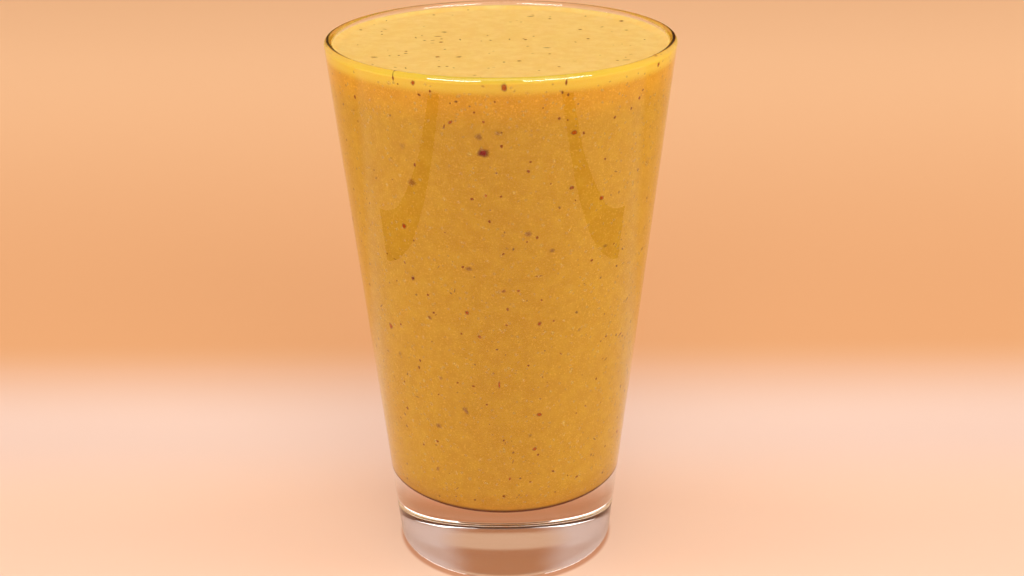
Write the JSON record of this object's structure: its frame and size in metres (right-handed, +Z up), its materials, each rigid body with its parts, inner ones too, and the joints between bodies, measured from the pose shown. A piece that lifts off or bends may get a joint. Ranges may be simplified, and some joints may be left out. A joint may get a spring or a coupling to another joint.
{
  "type": "banana coconut smoothie in a glass",
  "caption": "Tall conical clear glass with a thick solid base, filled to the brim with a creamy yellow banana coconut smoothie full of fine dark and red flecks.",
  "frame": {"origin": "centre of the glass's foot, on the surface that it stands on", "axes": "+Z up along the glass's axis; the turned shape has no front, and -Y faces the picture's camera"},
  "size_m": [0.0902, 0.0902, 0.1443],
  "materials": {
    "clear_glass": "smooth, fire-polished, colourless",
    "smoothie": "moist, thick, opaque, with fine flecks"
  },
  "bodies": {
    "root": {"glass": "clear_glass", "smoothie": "smoothie"}
  },
  "joints": []
}
